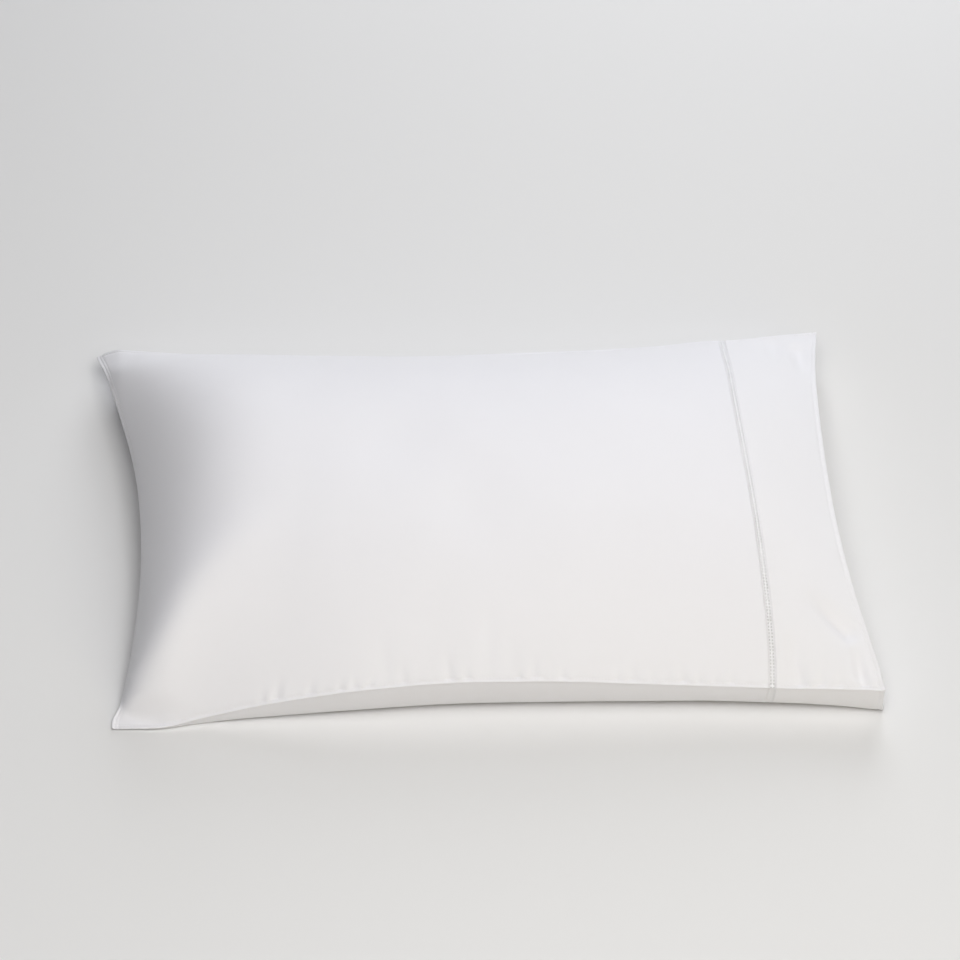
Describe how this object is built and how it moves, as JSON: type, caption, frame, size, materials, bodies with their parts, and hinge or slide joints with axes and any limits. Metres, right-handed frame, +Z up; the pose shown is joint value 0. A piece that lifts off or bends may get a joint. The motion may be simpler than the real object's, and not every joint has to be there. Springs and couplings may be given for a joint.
{
  "type": "filled pillowcase",
  "caption": "Plain white pillowcase with a deep hemstitched cuff at its open end, filled out by its pillow and lying on its back.",
  "frame": {"origin": "on the surface it rests on, under the centre of the bounding box", "axes": "+X along the case towards its open cuff, +Y across it towards the far side seam, +Z up out of the front panel"},
  "size_m": [0.7321, 0.476, 0.1407],
  "materials": {
    "case_cloth": "matte white cotton in a fine close weave",
    "cuff_cloth": "matte white cotton in a fine close weave, doubled in a deep hem"
  },
  "bodies": {
    "root": {"case_body": "case_cloth", "cuff": "cuff_cloth"}
  },
  "joints": []
}
